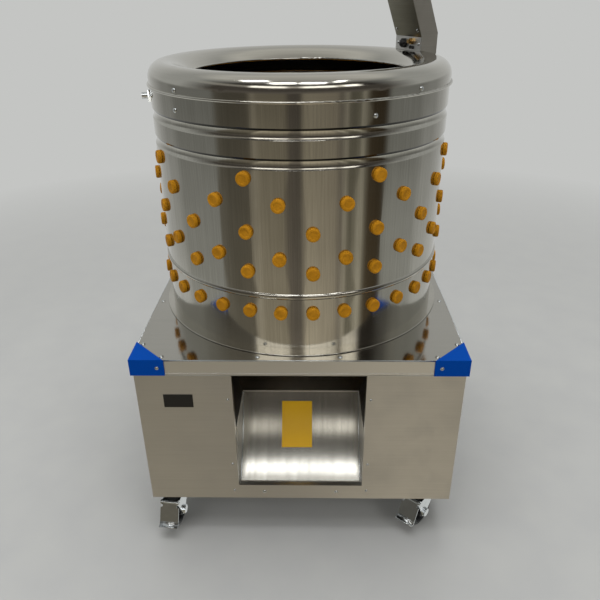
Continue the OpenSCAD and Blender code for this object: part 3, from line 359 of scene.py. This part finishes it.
weld_half, weld_radius, weld_lift = 0.1305, 0.0016, 0.0006
shape = bmesh.new()
for side in (-weld_half, weld_half):
    ring = bmesh.ops.create_circle(shape, segments=10, radius=weld_radius)["verts"]
    bmesh.ops.rotate(shape, verts=ring, matrix=Matrix.Rotation(slope_low + math.pi / 2, 3, "X"))
    bmesh.ops.translate(shape, verts=ring, vec=on_scoop(side, slope_low, weld_lift))
    loop = list({edge for vert in ring for edge in vert.link_edges})
    bmesh.ops.spin(shape, geom=ring + loop, cent=scoop_axis, axis=(1, 0, 0), angle=slope_high - slope_low,
                   steps=36, use_merge=False)
bmesh.ops.holes_fill(shape, edges=shape.edges[:])
bmesh.ops.recalc_face_normals(shape, faces=shape.faces[:])
for face in shape.faces:
    face.smooth = True
scoop_welds = new_piece("scoop_welds", shape, zinc)
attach(scoop_welds, "base")

low_edge, high_edge = math.radians(43.1), math.radians(64.5)
film_left, film_right, film_lift, film_thick = -0.0423, 0.0254, 0.0004, 0.0003
shape = bmesh.new()
ends = [shape.verts.new(on_scoop(x, low_edge, film_lift)) for x in (film_left, film_right)]
edge = shape.edges.new(ends)
bmesh.ops.spin(shape, geom=ends + [edge], cent=scoop_axis, axis=(1, 0, 0), angle=high_edge - low_edge,
               steps=24, use_merge=False)
bmesh.ops.recalc_face_normals(shape, faces=shape.faces[:])
bmesh.ops.solidify(shape, geom=shape.faces[:], thickness=film_thick)
# Vinyl film: flat strong yellow with a soft shine
yellow_film = moulded("vinyl_film_yellow", "#F0B808", "#F6C010", 0.35)
film_patch = new_piece("yellow_film_patch", shape, yellow_film)
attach(film_patch, "base")

# Top plate
# One square of bright rolled stainless with a folded skirt and a hemmed foot, pierced for the
# drum; it lies on the frame and mirrors the drum and its fingers.
across_grain, top_polish, skirt_polish = (8, 420, 420), 0.1, 0.36
# Bright rolled sheet: close to a mirror, with the faintest lines across
plate_steel = ground_steel("bright_rolled_stainless_plate", ("#B4B2AB", "#BDBAB3"), top_polish,
                           across_grain, 0.0, 0.04)
# The folded skirt keeps a ground finish under the bright top
tree = plate_steel.node_tree
spot = add(tree, "SeparateXYZ", {0: add(tree, "TexCoord").outputs["Object"]})
skirt_top, plate_top = 0.458, 0.4595
face = add(tree, "MapRange", {0: spot.outputs["Z"], 1: skirt_top, 2: plate_top, 3: 0, 4: 1}).outputs[0]
finish = add(tree, "MapRange", {0: face, 1: 0, 2: 1, 3: skirt_polish, 4: top_polish})
shader = tree.nodes["Principled BSDF"]
tree.links.new(finish.outputs[0], shader.inputs["Roughness"])
rolled = shader.inputs["Base Color"].links[0].from_socket
ground = add(tree, "MixRGB", {0: face, 1: linear("#E4E4E3"), 2: rolled})
tree.links.new(ground.outputs[0], shader.inputs["Base Color"])
dress(plate_steel, "top_plate")

plate_half, fold_radius, fold_height, hem_height = 0.3278, 0.0014, 0.4588, 0.4262
fold_inset, guard_room = 0.0012, 0.07
shape = bmesh.new()
for quarter in range(4):
    for edge_height in (fold_height, hem_height):
        place = Matrix.Rotation(math.radians(90 * quarter), 4, "Z") @ Matrix.Translation(
            (0, fold_inset - plate_half, edge_height)) @ Matrix.Rotation(math.pi / 2, 4, "Y")
        bmesh.ops.create_cone(shape, cap_ends=True, segments=16, radius1=fold_radius,
                              radius2=fold_radius, depth=2 * plate_half - guard_room, matrix=place)
for face in shape.faces:
    face.smooth = len(face.verts) == 4
fold_edges = new_piece("plate_fold_edges", shape, zinc)
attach(fold_edges, "base")

# Rivets and screws
# Small domed, bright plated heads that hold guards, panels, plate, rim and bearings; each
# picks up one bright point of the room.
dress(zinc, "rivets", "plate_screws", "rim_screws", "bearing_bolts")

# Corner guards
# Pressed steel caps over the four corners of the top plate, powder coated a strong blue
# and riveted through the skirt.
blue_coat, tree, shader = new_material("blue_powder_coat_satin")
# Powder coat flows out to a satin skin with a faint peel about 2 mm wide
spot = add(tree, "TexCoord").outputs["Object"]
peel = add(tree, "TexNoise", {"Vector": spot, "Scale": 500.0, "Detail": 2.0})
blue = colours(tree, peel.outputs[0], [(0.3, "#00429C"), (0.7, "#0247A6")])
tree.links.new(blue, shader.inputs["Base Color"])
shader.inputs["Roughness"].default_value = 0.45
shader.inputs["Specular IOR Level"].default_value = 0.03
bump = add(tree, "Bump", {"Height": peel.outputs[0], "Strength": 0.12, "Distance": 0.0003})
tree.links.new(bump.outputs[0], shader.inputs["Normal"])
dress(blue_coat, "corner_guards")

# Drive
# A motor hung on the drive bed turns the main shaft through one V-belt and two cast
# pulleys; the shaft runs in two flanged bearing units.
shaft_polish = 0.24
# Turned and ground stainless: grey, half bright, with lines across
feather_steel = ground_steel("ground_stainless_feather_plate", ("#A8A49A", "#B6B2A8"), shaft_polish,
                             across_grain, 0.0, 0.1)
dress(feather_steel, "main_shaft", "motor_shaft")
iron, tree, shader = new_material("cast_iron_grey")
# Sand-cast skin: dark grey and dull with grains about 1.5 mm wide
spot = add(tree, "TexCoord").outputs["Object"]
sand = add(tree, "TexNoise", {"Vector": spot, "Scale": 700.0, "Detail": 2.0})
casting = colours(tree, sand.outputs[0], [(0.3, "#3A3B3D"), (0.7, "#4C4D50")])
tree.links.new(casting, shader.inputs["Base Color"])
shader.inputs["Roughness"].default_value = 0.6
shader.inputs["Metallic"].default_value = 0.6
bump = add(tree, "Bump", {"Height": sand.outputs[0], "Strength": 0.3, "Distance": 0.0005})
tree.links.new(bump.outputs[0], shader.inputs["Normal"])
dress(iron, "upper_bearing", "lower_bearing", "driven_pulley", "drive_pulley")
# Stove enamel: an even grey-blue with a soft shine; belt rubber: black and dull
dress(moulded("enamel_grey_blue", "#56636B", "#5F6D75", 0.4), "motor_body")
dress(moulded("rubber_belt_black", "#161616", "#202020", 0.7), "v_belt")

# Feather plate
# A stainless disc on the main shaft, pierced for its own rings of fingers, that throws the
# birds against the drum.
dress(feather_steel, "feather_plate")

# Drum
# Bright stainless sheet rolled to a cylinder with one raised bead, two rolled grooves and a foot
# flange; its faint grain runs upright, and it mirrors the room in tall bands.
down_grain = (420, 420, 8)
drum_steel = ground_steel("bright_stainless_drum", ("#B2AFA6", "#CFCCC4"), 0.13, down_grain, 0.6, 0.03)
# Inside, the sheet is tinted near black: painted shade for the drum's shadowed inner wall
tree = drum_steel.node_tree
shader = tree.nodes["Principled BSDF"]
spot = add(tree, "TexCoord").outputs["Object"]
facing = add(tree, "NewGeometry").outputs["True Normal"]
outward = add(tree, "VectorMath", {0: facing, 1: spot}, operation="DOT_PRODUCT")
inside = add(tree, "Math", {0: outward.outputs["Value"], 1: 0.0}, operation="LESS_THAN")
bright_skin = shader.inputs["Base Color"].links[0].from_socket
# Painted shade: the inner wall takes a dark colour in place of the shadow inside the drum
skin = add(tree, "MixRGB", {0: inside.outputs[0], 1: bright_skin, 2: linear("#3A3936")})
tree.links.new(skin.outputs[0], shader.inputs["Base Color"])
dress(drum_steel, "drum")

foot_radius, foot_height, edge_radius = 0.312, 0.4612, 0.0013
shape = bmesh.new()
ring = bmesh.ops.create_circle(shape, segments=12, radius=edge_radius)["verts"]
bmesh.ops.rotate(shape, verts=ring, matrix=Matrix.Rotation(math.pi / 2, 3, "X"))
bmesh.ops.translate(shape, verts=ring, vec=(foot_radius, 0, foot_height))
loop = list({edge for vert in ring for edge in vert.link_edges})
bmesh.ops.spin(shape, geom=ring + loop, cent=(0, 0, 0), axis=(0, 0, 1), angle=2 * math.pi,
               steps=180, use_merge=True)
bmesh.ops.recalc_face_normals(shape, faces=shape.faces[:])
for face in shape.faces:
    face.smooth = True
foot_edge = new_piece("drum_foot_edge", shape, drum_steel)
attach(foot_edge, "base")

# Fingers
# Moulded natural rubber, amber and matt, pushed through the drum and the feather plate from
# outside and held by their collars.
amber, tree, shader = new_material("amber_rubber_moulded")
# Natural rubber: a warm amber with slow marbling some 15 mm wide and a dusty, matt skin
spot = add(tree, "TexCoord").outputs["Object"]
marbling = add(tree, "TexNoise", {"Vector": spot, "Scale": 60.0, "Detail": 4.0})
rubber = colours(tree, marbling.outputs[0], [(0.3, "#AC7612"), (0.7, "#C6891C")])
tree.links.new(rubber, shader.inputs["Base Color"])
shader.inputs["Roughness"].default_value = 0.6
shader.inputs["Specular IOR Level"].default_value = 0.12
skin = add(tree, "TexNoise", {"Vector": spot, "Scale": 800.0, "Detail": 2.0})
bump = add(tree, "Bump", {"Height": skin.outputs[0], "Strength": 0.15, "Distance": 0.0004})
tree.links.new(bump.outputs[0], shader.inputs["Normal"])
dress(amber, *[n for n in nodes if n.startswith("drum_fingers_row_")], "plate_fingers")

# Spray ring and water inlet
# A drilled stainless tube clipped inside the drum's top, fed by a bright plated hose spigot
# that is held through the wall by a nut.
spun_polish = 0.12
# Spun stainless: bright and clean, with fine lines round the axis
rim_steel = ground_steel("spun_stainless_rim", ("#C2BFB7", "#CCC9C1"), spun_polish, level_grain, 0.4, 0.03)
dress(rim_steel, "spray_ring")
dress(zinc, "spray_clips", "water_inlet")

# Rim cover
# A half-round ring spun from bright stainless that laps over the drum's top edge, with
# rolled lips at its foot and round the loading mouth.
dress(rim_steel, "rim_cover")

# Control box
# A leaning box folded from ground stainless that stands on the rim. Its neck carries a black
# cable gland, two plugs and a brass fitting.
box_polish, cover_polish = 0.46, 0.34
# Ground box sheet: pale and softly shining; the cover is smoother and tinted darker, a painted shade on the
# box's front
box_steel = ground_steel("ground_stainless_box", ("#CDCBC6", "#D9D7D2"), box_polish, level_grain, 0.5, 0.12)
dress(box_steel, "control_box")
# Painted shade: the cover's darker olive tint stands for the shade on the front of the box
cover_steel = ground_steel("stainless_cover_painted_shade", ("#8C897C", "#9E9B8D"), cover_polish,
                           level_grain, 0.3, 0.1)
dress(cover_steel, "control_cover")
dress(panel_steel, "gland_plate")
dress(zinc, "control_screws")
brass, tree, shader = new_material("turned_brass")
# Turned brass: bright yellow metal that has begun to tarnish in spots about 8 mm wide
spot = add(tree, "TexCoord").outputs["Object"]
tarnish = add(tree, "TexNoise", {"Vector": spot, "Scale": 120.0, "Detail": 3.0})
yellow_metal = colours(tree, tarnish.outputs[0], [(0.3, "#A98A58"), (0.7, "#C2A26C")])
tree.links.new(yellow_metal, shader.inputs["Base Color"])
shader.inputs["Metallic"].default_value = 1.0
shader.inputs["Roughness"].default_value = 0.3
dress(brass, "brass_fitting")
# Moulded nylon: black with a dull shine
dress(moulded("nylon_black_moulded", "#141414", "#1E1E1E", 0.45), "cable_glands")

# Buttons
# Moulded start and stop buttons in bright bezels, and a red mushroom head on a yellow
# collar, all on the far side of the box.
dress(zinc, "button_bezels")
# Polycarbonate: clean strong colours with a clear shine
dress(moulded("polycarbonate_yellow", "#D9A806", "#E5B50E", 0.35), "stop_collar")
dress(moulded("polycarbonate_green", "#15803A", "#1C8C42", 0.3), "start_button")
dress(moulded("polycarbonate_red", "#B01616", "#BF1E1E", 0.3), "stop_button", "emergency_stop")
